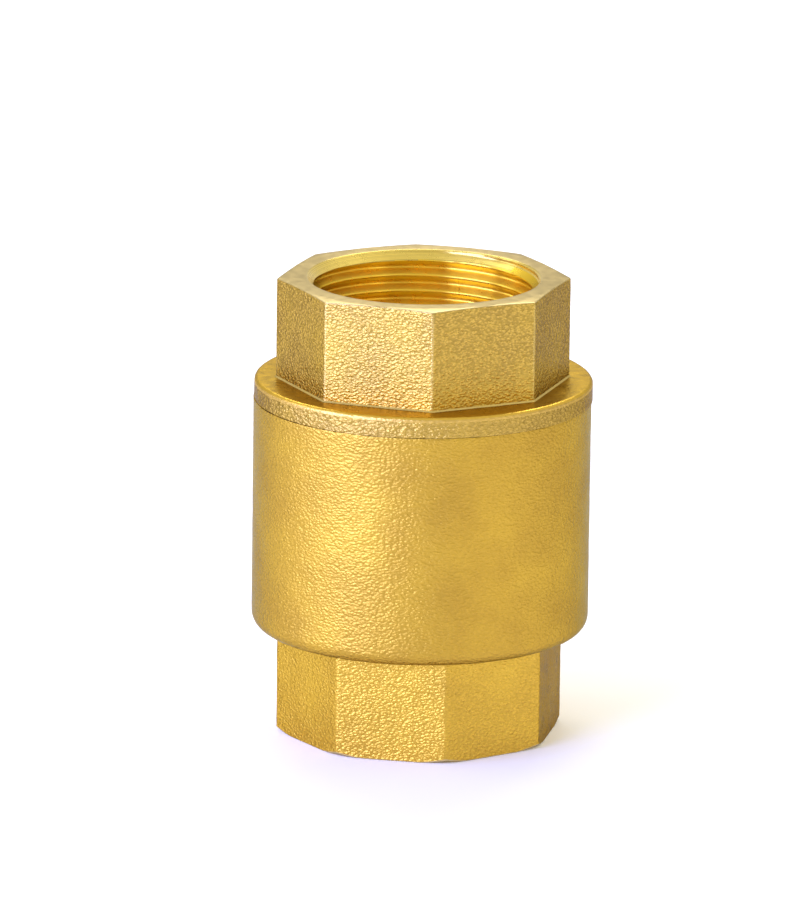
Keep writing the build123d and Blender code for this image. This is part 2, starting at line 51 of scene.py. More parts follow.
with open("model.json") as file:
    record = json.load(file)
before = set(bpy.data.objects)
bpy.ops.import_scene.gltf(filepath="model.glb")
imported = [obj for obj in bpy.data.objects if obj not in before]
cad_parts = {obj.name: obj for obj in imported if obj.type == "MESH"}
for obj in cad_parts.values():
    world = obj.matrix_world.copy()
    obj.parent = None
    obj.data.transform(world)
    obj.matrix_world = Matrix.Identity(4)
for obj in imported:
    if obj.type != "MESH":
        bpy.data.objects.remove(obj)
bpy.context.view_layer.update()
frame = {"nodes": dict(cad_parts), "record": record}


# ---------------------------------------------------------------- sizes, in millimetres
def node_box(name):
    """Lowest and highest corner of a CAD node, in millimetres."""
    low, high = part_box(name)
    return Vector(low) / MM, Vector(high) / MM


BODY_HIGH = node_box("inlet_body")[1]
CAP_LOW, CAP_HIGH = node_box("outlet_cap")
SPRING_LOW, SPRING_HIGH = node_box("return_spring")
MOUNTS = {m["name"]: m for m in frame["record"]["mounts"]}

SEAM_Z = BODY_HIGH.z
TOP_Z = CAP_HIGH.z
BARREL_R = BODY_HIGH.x
FLANGE_R = CAP_HIGH.x
CREST_R = MOUNTS["outlet_thread"]["dims"]["r_mm"]

# the body outside: the inlet octagon and the barrel
BODY_FLATS = 38.6
BODY_TURN = 22.5
BODY_CORNER = 0.7  # radius of the octagon's vertical edges
END_CHAMFER_R = 19.75
END_CHAMFER_SLOPE = math.tan(math.radians(30))
FACE_MARGIN = 0.4  # least distance from the inlet face's edge to the octagon's wall
BARREL_Z = 15.2
BARREL_FILLET = 2.0

# the cap outside: the outlet octagon and the flange
CAP_FLATS = 39.0
CAP_TURN = 15.1
CAP_CORNER = 0.55
TOP_CHAMFER_R = 19.4
TOP_CHAMFER_SLOPE = math.tan(math.radians(7))
TOP_FACE_R = TOP_CHAMFER_R - 0.2  # outer radius of the flat part of the outlet face
FLANGE_TOP_Z = 51.95
FLANGE_FILLET = 0.65
FLANGE_OFFSET = 0.13  # how far the forged flange sits off the axis
FLANGE_OFFSET_ANGLE = math.radians(11.6)  # polar angle of that offset
FOOT_R = 0.2  # width and height of the strip where the octagon meets the flange, which carries a painted highlight
FOOT_Z = FLANGE_TOP_Z + FOOT_R
RIM_H = 0.1  # height of the strip under the flange's rounded edge that carries, with the edge's lower half, a painted highlight

# the body inside, from the joint thread down to the inlet port
SEAL_BORE_R = 22.45
SEAL_BORE_Z = 47.3
SEAL_BORE_LEAD = 0.4
JOINT_LOW_Z = 42.2
JOINT_RELIEF_R = 22.25
JOINT_RELIEF_Z = 40.8
CHAMBER_R = 20.6
CHAMBER_Z = 18.5
SEAT_FOOT_R = 15.7
SEAT_SHOULDER_R = 15.2
SEAT_Z = 22.0
SEAT_SHOULDER_Z = SEAT_Z - 0.8
LIP_R = 14.4
LIP_DRAFT = 0.3
ORIFICE_R = 12.5
ORIFICE_CHAMFER = 0.6
GUIDE_SEAT_R = 14.4
GUIDE_SEAT_Z = 17.2
RING_GROOVE_R = 15.05
RING_GROOVE_Z = 13.85
RING_GROOVE_H = 1.1

# the cap inside, from the spigot up to the outlet port
NECK_R = 20.9
NECK_Z = 47.2
SPIGOT_Z = CAP_LOW.z
SPIGOT_END_R = 21.0
SPIGOT_CONE_R = 21.02  # radius at the end face of the cone turned on the spigot's thread
SPIGOT_BORE_R = 18.2
SPIGOT_BORE_LEAD = 0.6
HIGH_GROOVE_R = 18.9
HIGH_GROOVE_TOP_Z = 45.8
UPPER_SEAT_Z = 48.6
OUTLET_BORE_R = 14.0

# the port threads and the thread that joins cap and body
PORT_PITCH = 2.309
PORT_ROOT_R = 16.625
PORT_CREST_FLAT = 0.33
PORT_ROOT_FLAT = 0.42
PORT_MOUTH_R = 16.8
PORT_RELIEF_R = 16.9
PORT_RELIEF_H = 1.6
PORT_DEPTH = 13.4
PORT_STATIONS = [0.05, 0.14, 0.22, 0.29, 0.75, 0.81, 0.87, 0.94]  # shares of half a pitch
JOINT_PITCH = 1.5
JOINT_INNER_FLAT = 0.5  # on the smaller radius: the female crest and the male root
JOINT_OUTER_FLAT = 0.22  # on the larger radius: the female root and the male crest
JOINT_STATIONS = [0.15, 0.5, 0.85]
INLET_GROOVE_Z = -1.4  # height of a groove's middle at polar angle 0
OUTLET_GROOVE_ANGLE = -3.5  # polar angle, in degrees, at which a groove's middle is 54.25 high
OUTLET_GROOVE_Z = 54.25 - PORT_PITCH * OUTLET_GROOVE_ANGLE / 360
JOINT_GROOVE_Z = 41.4
SOFTENING = 0.05  # share of the pitch that a thread's corners are rounded to each side
EDGE_Z = 0.15  # how far from the end face the entry cone gives way to the face's rounding

WAVE_DEPTH = 0.05  # scale of the forged faces' waviness, which goes about this deep
WAVE_LENGTH = 3.0

# the return spring
WIRE_R = 0.5
SPRING_R = 7.0
COILS = 7
END_TURNS = 1.0
RAMP_TURNS = 0.5
GROUND = 0.3  # how much of the wire is ground off at each end
COIL_GAP = 0.02  # between the closed coils

# finishes of the shells, in the order of their material slots
COARSE, FINE, TURNED, THREADED, INNER, EDGE_HIGHLIGHT, SHELF, BAND, FOOT_HIGHLIGHT, MOUTH, LOW, RIM_HIGHLIGHT = range(12)
FORGED = (COARSE, FINE, EDGE_HIGHLIGHT, SHELF, BAND, FOOT_HIGHLIGHT, LOW, RIM_HIGHLIGHT)


# ---------------------------------------------------------------- outlines and profiles
CORNER_STEPS = 6
FLAT_STEPS = 36
SIDE = math.pi / 4  # the angle that one side of an octagon takes


def first_flat(turn):
    """Polar angle of the middle of an octagon's first flat, half a side past its turned corner."""
    return math.radians(turn - 90) + SIDE / 2


def octagon_columns(across_flats, turn, corner):
    """Polar angles of the mesh columns: evenly along each flat, and closer together round each corner."""
    apothem = across_flats / 2
    straight = (apothem - corner) * math.tan(SIDE / 2)
    arc_start = math.atan2(straight, apothem)
    flat = np.arctan2(np.linspace(-straight, straight, FLAT_STEPS + 1)[:-1], apothem)
    bend = np.linspace(arc_start, SIDE - arc_start, CORNER_STEPS + 1)[:-1]
    side = np.concatenate([flat, bend])
    return np.concatenate([side + first_flat(turn) + k * SIDE for k in range(8)])


def octagon_radius(angles, across_flats, turn, corner):
    """Distance from the axis to a rounded octagon's outline at each polar angle."""
    apothem = across_flats / 2
    from_flat = (angles - first_flat(turn) + SIDE / 2) % SIDE - SIDE / 2
    from_corner = SIDE / 2 - np.abs(from_flat)
    on_flat = apothem / np.cos(from_flat)
    centre = (apothem - corner) / math.cos(SIDE / 2)
    reach = np.maximum(corner**2 - (centre * np.sin(from_corner)) ** 2, 0)
    on_corner = centre * np.cos(from_corner) + np.sqrt(reach)
    arc_start = math.atan2((apothem - corner) * math.tan(SIDE / 2), apothem)
    return np.where(np.abs(from_flat) <= arc_start, on_flat, on_corner)


class Knot:
    """A corner of a profile: its radius and height, how far from it its rounding starts, the rows and
    the finish of the run that follows it, and the rows of its rounding."""

    def __init__(self, r, z, rounding=0.0, rows=1, finish=0, arc_rows=4):
        self.r = r
        self.z = z
        self.rounding = rounding
        self.rows = rows
        self.finish = finish
        self.arc_rows = arc_rows


def profile_rows(knots, columns):
    """Rows of (r, z) per column along the knots, and the finish of the strip after each row."""
    points = [np.stack(np.broadcast_arrays(k.r + 0 * columns, k.z), -1) for k in knots]
    rows = []
    finishes = []
    last = len(knots) - 1
    for i, knot in enumerate(knots):
        here = points[i]
        if knot.rounding and 0 < i < last:
            before = here - points[i - 1]
            after = points[i + 1] - here
            before /= np.linalg.norm(before, axis=1, keepdims=True)
            after /= np.linalg.norm(after, axis=1, keepdims=True)
            start = here - knot.rounding * before
            end = here + knot.rounding * after
            weight = np.sqrt((1 + (before * after).sum(1, keepdims=True)) / 2)
            for s in np.linspace(0, 1, knot.arc_rows + 1):
                a, b, c = (1 - s) ** 2, 2 * weight * s * (1 - s), s**2
                rows.append((a * start + b * here + c * end) / (a + b + c))
                finishes.append(knot.finish if s > 0.5 else knots[i - 1].finish)
            here = end
        else:
            rows.append(here)
            finishes.append(knot.finish)
        if i < last:
            following = points[i + 1]
            if knots[i + 1].rounding and i + 1 < last:
                step = following - points[i]
                step /= np.linalg.norm(step, axis=1, keepdims=True)
                following = following - knots[i + 1].rounding * step
            for s in range(1, knot.rows):
                rows.append(here + (following - here) * s / knot.rows)
                finishes.append(knot.finish)
    return rows, finishes


MERGE = 2e-6  # points nearer than this, in metres, become one
HARD_ANGLE = math.radians(38)
ON_WALL = 0.01  # how near the octagon's wall a point counts as on it


class Shell:
    """Vertices and faces gathered strip by strip, in millimetres, then made into one closed mesh."""

    def __init__(self, columns, wall):
        self.columns = columns
        self.wall = wall  # radius of the octagon's wall in each column
        self.bent = np.arange(len(columns)) % (FLAT_STEPS + CORNER_STEPS) >= FLAT_STEPS
        self.points = []
        self.faces = []
        self.finishes = []
        self.count = 0

    def add_grid(self, r, z, angles, finishes, closed):
        """A grid of rows by columns. finishes gives each strip's finish."""
        rows, width = r.shape
        self.points.append(np.stack([r * np.cos(angles), r * np.sin(angles), z], -1).reshape(-1, 3))
        across = width if closed else width - 1
        i, j = np.meshgrid(np.arange(rows - 1), np.arange(across), indexing="ij")
        right = (j + 1) % width
        this_row = self.count + i * width
        next_row = this_row + width
        quads = np.stack([this_row + j, this_row + right, next_row + right, next_row + j], -1)
        self.faces.append(quads.reshape(-1, 4))
        self.finishes.append(np.repeat(np.asarray(finishes)[: rows - 1], across))
        self.count += rows * width

    def add_profile(self, knots):
        """A strip turned round the axis along the knots."""
        rows, finishes = profile_rows(knots, self.columns)
        grid = np.stack(rows)
        self.add_grid(grid[..., 0], grid[..., 1], self.columns, finishes, closed=True)
        on_wall = np.abs(grid[..., 0] - self.wall) < ON_WALL
        # painted highlight: the upper octagon's rounded vertical edges get a brighter finish
        highlit_edges = on_wall[:-1] & on_wall[1:] & self.bent & (np.asarray(finishes)[:-1, None] == COARSE)
        self.finishes[-1][highlit_edges.ravel()] = EDGE_HIGHLIGHT

    def add_thread(self, thread, z_from, z_to, limit, finish):
        """A thread's surface between two heights, its rows following the helix. limit(r, z) applies
        what else was turned away there, and the entry cone gets its own finish."""
        angles = np.append(self.columns, self.columns[0] + 2 * math.pi)
        climb = thread.pitch * angles / (2 * math.pi)
        low, high = min(z_from, z_to), max(z_from, z_to)
        first = math.floor((low - thread.groove_z - climb.max()) / thread.pitch) - 1
        last = math.ceil((high - thread.groove_z - climb.min()) / thread.pitch) + 1
        turns = np.arange(first, last + 1)
        along = (turns[:, None] * thread.pitch + thread.offsets[None, :]).ravel()
        z = np.clip(along[:, None] + thread.groove_z + climb[None, :], low, high)
        keep = [i for i in range(len(z)) if z[i].max() > low and z[i].min() < high]
        z = z[max(keep[0] - 1, 0) : keep[-1] + 2]
        r = limit(thread.radius(z, angles), z)
        if z_from > z_to:
            r, z = r[::-1], z[::-1]
        self.add_grid(r, z, angles, [finish] * len(z), closed=False)
        in_mouth = limit(np.zeros(z.shape), z) > CREST_R
        self.finishes[-1][(in_mouth[:-1, :-1] & in_mouth[1:, 1:]).ravel()] = MOUTH

    def build(self, name, materials, flip):
        """The finished object, its doubled points merged and its hard edges marked."""
        points = np.concatenate(self.points) * MM
        faces = np.concatenate(self.faces)
        if flip:
            faces = faces[:, ::-1]
        mesh = bpy.data.meshes.new(name)
        mesh.from_pydata(points.tolist(), [], faces.tolist())
        mesh.polygons.foreach_set("material_index", np.concatenate(self.finishes).astype(np.int32))
        for material in materials:
            mesh.materials.append(material)
        work = bmesh.new()
        work.from_mesh(mesh)
        bmesh.ops.remove_doubles(work, verts=work.verts, dist=MERGE)
        bmesh.ops.dissolve_degenerate(work, edges=work.edges, dist=MERGE)
        for face in work.faces:
            face.smooth = True
        for edge in work.edges:
            edge.smooth = not (edge.is_manifold and edge.calc_face_angle() > HARD_ANGLE)
        work.to_mesh(mesh)
        work.free()
        obj = bpy.data.objects.new(name, mesh)
        bpy.context.scene.collection.objects.link(obj)
        return obj


class Thread:
    """A right-hand thread: its surface radius against height, with softened crests and roots."""

    def __init__(self, pitch, crest_r, root_r, crest_flat, root_flat, groove_z, stations):
        self.pitch = pitch
        self.groove_z = groove_z  # height of a groove's middle at polar angle 0
        flank = (pitch - crest_flat - root_flat) / 2
        marks = np.array([0.0, root_flat / 2, root_flat / 2 + flank, pitch / 2])
        levels = np.array([root_r, root_r, crest_r, crest_r])
        half = np.array(stations) * pitch / 2
        shifts = np.linspace(-1, 1, 9) * SOFTENING * pitch
        radii = np.mean([np.interp(np.abs(half + s), marks, levels) for s in shifts], axis=0)
        self.offsets = np.concatenate([-half[::-1], half])
        self.radii = np.concatenate([radii[::-1], radii])

    def radius(self, z, angles):
        """Radius of the thread's surface at heights and polar angles."""
        start = self.offsets[0]
        climb = self.pitch * angles / (2 * math.pi)
        phase = (z - self.groove_z - climb - start) % self.pitch + start
        return np.interp(
            phase, np.append(self.offsets, start + self.pitch), np.append(self.radii, self.radii[0])
        )


def port_thread(groove_z):
    """The G1 thread of a port."""
    return Thread(
        PORT_PITCH,
        crest_r=CREST_R,
        root_r=PORT_ROOT_R,
        crest_flat=PORT_CREST_FLAT,
        root_flat=PORT_ROOT_FLAT,
        groove_z=groove_z,
        stations=PORT_STATIONS,
    )


INLET_THREAD = port_thread(INLET_GROOVE_Z)
OUTLET_THREAD = port_thread(OUTLET_GROOVE_Z)
JOINT_FEMALE = Thread(
    JOINT_PITCH,
    crest_r=21.2,
    root_r=22.05,
    crest_flat=JOINT_INNER_FLAT,
    root_flat=JOINT_OUTER_FLAT,
    groove_z=JOINT_GROOVE_Z - JOINT_PITCH / 2,
    stations=JOINT_STATIONS,
)
JOINT_MALE = Thread(
    JOINT_PITCH,
    crest_r=21.92,
    root_r=21.06,
    crest_flat=JOINT_OUTER_FLAT,
    root_flat=JOINT_INNER_FLAT,
    groove_z=JOINT_GROOVE_Z,
    stations=JOINT_STATIONS,
)


# ---------------------------------------------------------------- body and cap
def make_body_shell(materials):
    """The body: outside from the inlet face up, then inside from the seam down."""
    columns = octagon_columns(BODY_FLATS, BODY_TURN, BODY_CORNER)
    wall = octagon_radius(columns, BODY_FLATS, BODY_TURN, BODY_CORNER)
    shell = Shell(columns, wall)
    edge_z = np.maximum(0, (wall - END_CHAMFER_R) * END_CHAMFER_SLOPE)
    face_r = np.minimum(wall - FACE_MARGIN, END_CHAMFER_R)
    shell.add_profile(
        [
            Knot(PORT_MOUTH_R - EDGE_Z, EDGE_Z, finish=MOUTH),
            Knot(PORT_MOUTH_R, 0, rounding=0.08, rows=3, finish=TURNED, arc_rows=2),
            Knot(face_r, 0, rounding=0.05, finish=TURNED, arc_rows=2),
            Knot(wall, edge_z, rounding=0.22, rows=26, finish=LOW),
            Knot(wall, BARREL_Z, rounding=0.45, rows=3, finish=FINE),
            Knot(BARREL_R, BARREL_Z, rounding=BARREL_FILLET, rows=58, finish=FINE, arc_rows=8),
            Knot(BARREL_R, SEAM_Z, rounding=0.05, rows=2, finish=FINE, arc_rows=2),
            Knot(SEAL_BORE_R + SEAL_BORE_LEAD, SEAM_Z, finish=INNER),
            Knot(SEAL_BORE_R, SEAM_Z - SEAL_BORE_LEAD, finish=INNER),
            Knot(SEAL_BORE_R, SEAL_BORE_Z, finish=INNER),
            Knot(JOINT_FEMALE.radius(SEAL_BORE_Z, columns), SEAL_BORE_Z),
        ]
    )
    shell.add_thread(JOINT_FEMALE, SEAL_BORE_Z, JOINT_LOW_Z, lambda r, z: r, INNER)
    groove_top = RING_GROOVE_Z + RING_GROOVE_H
    relief_z = PORT_DEPTH - PORT_RELIEF_H
    shell.add_profile(
        [
            Knot(JOINT_FEMALE.radius(JOINT_LOW_Z, columns), JOINT_LOW_Z, finish=INNER),
            Knot(JOINT_RELIEF_R, JOINT_LOW_Z, finish=INNER),
            Knot(JOINT_RELIEF_R, JOINT_RELIEF_Z, finish=INNER),
            Knot(CHAMBER_R, JOINT_RELIEF_Z, rounding=0.1, rows=6, finish=INNER, arc_rows=1),
            Knot(CHAMBER_R, CHAMBER_Z, rounding=1.2, rows=3, finish=INNER),
            Knot(SEAT_FOOT_R, CHAMBER_Z, rounding=0.2, rows=2, finish=INNER, arc_rows=2),
            Knot(SEAT_SHOULDER_R, SEAT_SHOULDER_Z, rounding=0.1, finish=INNER, arc_rows=1),
            Knot(LIP_R + LIP_DRAFT, SEAT_SHOULDER_Z, rounding=0.05, finish=INNER, arc_rows=1),
            Knot(LIP_R, SEAT_Z, rounding=0.06, rows=2, finish=INNER, arc_rows=2),
            Knot(ORIFICE_R + ORIFICE_CHAMFER, SEAT_Z, rounding=0.06, finish=INNER, arc_rows=2),
            Knot(ORIFICE_R, SEAT_Z - ORIFICE_CHAMFER, rounding=0.06, rows=3, finish=INNER, arc_rows=1),
            Knot(ORIFICE_R, GUIDE_SEAT_Z, rounding=0.08, finish=INNER, arc_rows=1),
            Knot(GUIDE_SEAT_R, GUIDE_SEAT_Z, finish=INNER),
            Knot(GUIDE_SEAT_R, groove_top, finish=INNER),
            Knot(RING_GROOVE_R, groove_top, finish=INNER),
            Knot(RING_GROOVE_R, RING_GROOVE_Z, finish=INNER),
            Knot(GUIDE_SEAT_R, RING_GROOVE_Z, finish=INNER),
            Knot(GUIDE_SEAT_R, PORT_DEPTH, rounding=0.06, rows=2, finish=INNER, arc_rows=1),
            Knot(PORT_RELIEF_R, PORT_DEPTH, rounding=0.2, rows=2, finish=THREADED, arc_rows=2),
            Knot(PORT_RELIEF_R, relief_z, finish=THREADED),
            Knot(INLET_THREAD.radius(relief_z, columns), relief_z),
        ]
    )
    shell.add_thread(
        INLET_THREAD, relief_z, EDGE_Z, lambda r, z: np.maximum(r, PORT_MOUTH_R - z), THREADED
    )
    return shell.build("body_shell", materials, flip=False)


def make_cap_shell(materials):
    """The cap: outside from the outlet face down, then inside from the spigot up."""
    columns = octagon_columns(CAP_FLATS, CAP_TURN, CAP_CORNER)
    wall = octagon_radius(columns, CAP_FLATS, CAP_TURN, CAP_CORNER)
    flange_r = FLANGE_R - FLANGE_OFFSET * (1 - np.cos(columns - FLANGE_OFFSET_ANGLE))
    edge_z = TOP_Z - (wall - TOP_CHAMFER_R) * TOP_CHAMFER_SLOPE
    shell = Shell(columns, wall)
    shell.add_profile(
        [
            Knot(PORT_MOUTH_R - EDGE_Z, TOP_Z - EDGE_Z, finish=MOUTH),
            Knot(PORT_MOUTH_R, TOP_Z, rounding=0.08, rows=3, finish=TURNED, arc_rows=2),
            Knot(TOP_FACE_R, TOP_Z, rounding=0.15, finish=TURNED, arc_rows=2),
            Knot(wall, edge_z, rounding=0.25, rows=28, finish=COARSE, arc_rows=5),
            # painted highlight: the strip at the octagon's foot gets a brighter finish
            Knot(wall, FOOT_Z, finish=FOOT_HIGHLIGHT),
            Knot(wall + FOOT_R, FLANGE_TOP_Z, rows=3, finish=SHELF),
            # painted highlight on the lower half of the flange's rounded edge and a thin strip under it
            Knot(flange_r, FLANGE_TOP_Z, rounding=FLANGE_FILLET, finish=RIM_HIGHLIGHT, arc_rows=6),
            Knot(flange_r, FLANGE_TOP_Z - FLANGE_FILLET - RIM_H, rows=4, finish=BAND),
            Knot(flange_r, SEAM_Z, rounding=0.06, rows=2, finish=BAND, arc_rows=3),
            Knot(NECK_R, SEAM_Z, finish=INNER),
            Knot(NECK_R, NECK_Z, finish=INNER),
            Knot(JOINT_MALE.radius(NECK_Z, columns), NECK_Z),
        ]
    )
    shell.add_thread(
        JOINT_MALE,
        NECK_Z,
        SPIGOT_Z + EDGE_Z,
        lambda r, z: np.minimum(r, SPIGOT_CONE_R + z - SPIGOT_Z),
        INNER,
    )
    groove_z = HIGH_GROOVE_TOP_Z - RING_GROOVE_H
    shoulder_z = TOP_Z - PORT_DEPTH
    relief_z = shoulder_z + PORT_RELIEF_H
    end_r = np.minimum(JOINT_MALE.radius(SPIGOT_Z + EDGE_Z, columns), SPIGOT_CONE_R + EDGE_Z)
    shell.add_profile(
        [
            Knot(end_r, SPIGOT_Z + EDGE_Z, finish=INNER),
            Knot(SPIGOT_END_R, SPIGOT_Z, rows=2, finish=INNER),
            Knot(SPIGOT_BORE_R + SPIGOT_BORE_LEAD, SPIGOT_Z, finish=INNER),
            Knot(SPIGOT_BORE_R, SPIGOT_Z + SPIGOT_BORE_LEAD, finish=INNER),
            Knot(SPIGOT_BORE_R, groove_z, finish=INNER),
            Knot(HIGH_GROOVE_R, groove_z, finish=INNER),
            Knot(HIGH_GROOVE_R, HIGH_GROOVE_TOP_Z, finish=INNER),
            Knot(SPIGOT_BORE_R, HIGH_GROOVE_TOP_Z, finish=INNER),
            Knot(SPIGOT_BORE_R, UPPER_SEAT_Z, rounding=0.1, rows=2, finish=INNER, arc_rows=1),
            Knot(OUTLET_BORE_R, UPPER_SEAT_Z, rounding=0.1, rows=3, finish=INNER, arc_rows=1),
            Knot(OUTLET_BORE_R, shoulder_z, rounding=0.15, rows=2, finish=INNER, arc_rows=2),
            Knot(PORT_RELIEF_R, shoulder_z, rounding=0.2, rows=2, finish=THREADED, arc_rows=2),
            Knot(PORT_RELIEF_R, relief_z, finish=THREADED),
            Knot(OUTLET_THREAD.radius(relief_z, columns), relief_z),
        ]
    )
    shell.add_thread(
        OUTLET_THREAD,
        relief_z,
        TOP_Z - EDGE_Z,
        lambda r, z: np.maximum(r, PORT_MOUTH_R - (TOP_Z - z)),
        THREADED,
    )
    return shell.build("cap_shell", materials, flip=True)


def roughen(obj):
    """Presses the slight waviness of a forging into the forged faces, inwards but for a few points."""
    mesh = obj.data
    count = len(mesh.vertices)
    places = np.empty(count * 3, np.float32)
    normals = np.empty(count * 3, np.float32)
    mesh.vertices.foreach_get("co", places)
    mesh.vertex_normals.foreach_get("vector", normals)
    places, normals = places.reshape(-1, 3), normals.reshape(-1, 3)
    finishes = np.empty(len(mesh.polygons), np.int32)
    sizes = np.empty(len(mesh.polygons), np.int32)
    corners = np.empty(len(mesh.loops), np.int32)
    mesh.polygons.foreach_get("material_index", finishes)
    mesh.polygons.foreach_get("loop_total", sizes)
    mesh.loops.foreach_get("vertex_index", corners)
    turned = np.zeros(count, bool)
    forged = np.isin(finishes, FORGED)
    turned[corners[np.repeat(~forged, sizes)]] = True
    apart = Vector((7, 3, 1))  # so that the finer waves don't line up with the others
    for i in np.flatnonzero(~turned):
        place = Vector(places[i]) / (WAVE_LENGTH * MM)
        swell = 0.6 * noise.noise(place) + 0.4 * noise.noise(place * 2.3 + apart)
        places[i] -= normals[i] * WAVE_DEPTH * MM * (0.5 + swell)
    mesh.vertices.foreach_set("co", places.ravel())
    mesh.update()


# ---------------------------------------------------------------- spring
STEPS_PER_COIL = 48
WIRE_SIDES = 20


def make_spring(material):
    """The return spring: closed, ground end coils and an even pitch between them."""
    floor_z, roof_z = SPRING_LOW.z, SPRING_HIGH.z
    low, high = floor_z + WIRE_R - GROUND, roof_z - WIRE_R + GROUND
    turns = np.linspace(0, COILS, COILS * STEPS_PER_COIL + 1)
    open_part = np.clip((np.minimum(turns, COILS - turns) - END_TURNS) / RAMP_TURNS, 0, 1)
    closed = 2 * WIRE_R + COIL_GAP
    steps = np.diff(turns)
    opened = (open_part[1:] + open_part[:-1]) / 2 * steps
    extra = (high - low - closed * COILS) / opened.sum()
    z = low + np.concatenate([[0], np.cumsum(closed * steps + extra * opened)])
    angles = 2 * math.pi * turns
    centre = np.stack([SPRING_R * np.cos(angles), SPRING_R * np.sin(angles), z], -1)
    outward = np.stack([np.cos(angles), np.sin(angles), 0 * z], -1)
    along = np.gradient(centre, axis=0)
    along /= np.linalg.norm(along, axis=1, keepdims=True)
    upward = np.cross(along, outward)
    upward *= np.sign(upward[:, 2:])
    sides = np.linspace(0, 2 * math.pi, WIRE_SIDES, endpoint=False)
    across = outward[:, None] * np.cos(sides)[None, :, None]
    over = upward[:, None] * np.sin(sides)[None, :, None]
    points = centre[:, None] + WIRE_R * (across + over)
    points[..., 2] = np.clip(points[..., 2], floor_z, roof_z)
    work = bmesh.new()
    rings = [[work.verts.new(p * MM) for p in row] for row in points]
    for a, b in zip(rings, rings[1:]):
        for k in range(WIRE_SIDES):
            n = (k + 1) % WIRE_SIDES
            work.faces.new((a[k], a[n], b[n], b[k])).smooth = True
    work.faces.new(rings[0][::-1])
    work.faces.new(rings[-1])
    bmesh.ops.recalc_face_normals(work, faces=work.faces)
    mesh = bpy.data.meshes.new("spring_coil")
    work.to_mesh(mesh)
    work.free()
    mesh.materials.append(material)
    obj = bpy.data.objects.new("spring_coil", mesh)
    bpy.context.scene.collection.objects.link(obj)
    return obj


# ---------------------------------------------------------------- materials
class Nodes:
    """A small hand for building one material's node tree around its Principled shader."""

    def __init__(self, name, values):
        self.material = bpy.data.materials.new(name)
        self.material.use_nodes = True
        self.tree = self.material.node_tree
        self.shader = self.tree.nodes["Principled BSDF"]
        for socket, value in values.items():
            self.shader.inputs[socket].default_value = value
        self.place = self.add("ShaderNodeTexCoord").outputs["Object"]

    def add(self, kind, **settings):
        node = self.tree.nodes.new(kind)
        for key, value in settings.items():
            setattr(node, key, value)
        return node

    def link(self, source, node, socket):
        self.tree.links.new(source, node.inputs[socket])

    def scaled(self, factors):
        """The place in the object, multiplied part by part."""
        node = self.add("ShaderNodeVectorMath", operation="MULTIPLY")
        self.link(self.place, node, 0)
        node.inputs[1].default_value = factors
        return node.outputs[0]

    def noise(self, per_mm, detail=2.0, roughness=0.5, source=None):
        """Noise between 0 and 1 with that many waves to a millimetre."""
        node = self.add("ShaderNodeTexNoise")
        self.link(source or self.place, node, "Vector")
        node.inputs["Scale"].default_value = per_mm / MM
        node.inputs["Detail"].default_value = detail
        node.inputs["Roughness"].default_value = roughness
        return node.outputs["Fac"]

    def pebbles(self, per_mm, smoothness, source):
        """Distance to the nearest of many scattered points, smoothed."""
        node = self.add("ShaderNodeTexVoronoi", feature="SMOOTH_F1")
        self.link(source, node, "Vector")
        node.inputs["Scale"].default_value = per_mm / MM
        node.inputs["Smoothness"].default_value = smoothness
        return node.outputs["Distance"]

    def spread(self, value, low, high, to_low=0.0, to_high=1.0):
        """The value's range low to high stretched to another range."""
        node = self.add("ShaderNodeMapRange")
        self.link(value, node, "Value")
        limits = {"From Min": low, "From Max": high, "To Min": to_low, "To Max": to_high}
        for socket, number in limits.items():
            node.inputs[socket].default_value = number
        return node.outputs["Result"]

    def math(self, operation, a, b):
        node = self.add("ShaderNodeMath", operation=operation)
        for socket, value in enumerate((a, b)):
            if isinstance(value, (int, float)):
                node.inputs[socket].default_value = value
            else:
                self.link(value, node, socket)
        return node.outputs[0]

    def mix(self, factor, low, high):
        """Colour between two, by a factor."""
        node = self.add("ShaderNodeMix", data_type="RGBA")
        self.link(factor, node, "Factor")
        for socket, value in (("A", low), ("B", high)):
            target = [i for i in node.inputs if i.name == socket and i.type == "RGBA"][0]
            if isinstance(value, tuple):
                target.default_value = (*value, 1)
            else:
                self.tree.links.new(value, target)
        return [o for o in node.outputs if o.type == "RGBA"][0]

    def bump(self, height, depth_mm):
        """The surface's normal where heights of 0 to 1 stand for that depth."""
        node = self.add("ShaderNodeBump")
        node.inputs["Strength"].default_value = 1.0
        node.inputs["Distance"].default_value = depth_mm * MM
        self.link(height, node, "Height")
        return node.outputs["Normal"]

    def finish(self, colour, roughness=None, normal=None):
        """The finished material, with these outputs linked to its shader."""
        for value, socket in ((colour, "Base Color"), (roughness, "Roughness"), (normal, "Normal")):
            if value is not None:
                self.link(value, self.shader, socket)
        return self.material


# reflection of the finishes face on
COARSE_BRASS = (0.59, 0.381, 0.078)
FINE_BRASS = (0.557, 0.336, 0.046)
LOW_BRASS = (0.667, 0.41, 0.055)
# painted highlight on the upper octagon's rounded vertical edges
EDGE_HIGHLIGHT_BRASS = (0.70, 0.49, 0.14)
SHELF_BRASS = (0.80, 0.505, 0.078)
# painted highlight on the strip at the upper octagon's foot
FOOT_HIGHLIGHT_BRASS = (0.73, 0.54, 0.19)
# painted highlight on the flange's rounded edge
RIM_HIGHLIGHT_BRASS = (0.66, 0.43, 0.11)
BAND_BRASS = (0.545, 0.352, 0.078)
FACED_BRASS = (0.69, 0.54, 0.25)
BORED_BRASS = (1.0, 0.67, 0.07)
MOUTH_BRASS = (0.93, 0.69, 0.15)
# edge tints: how much of the reflection is left near a grazing angle
EDGE_TINT = (0.23, 0.26, 0.40, 1)
FINE_TINT = (0.36, 0.46, 0.54, 1)
SHELF_TINT = (0.45, 0.45, 0.45, 1)
MOUTH_TINT = (1, 1, 1, 1)
FACED_TINT = (0.45, 0.45, 0.45, 1)
FLATTENING = 1.5  # how much wider than high the blasted domes are


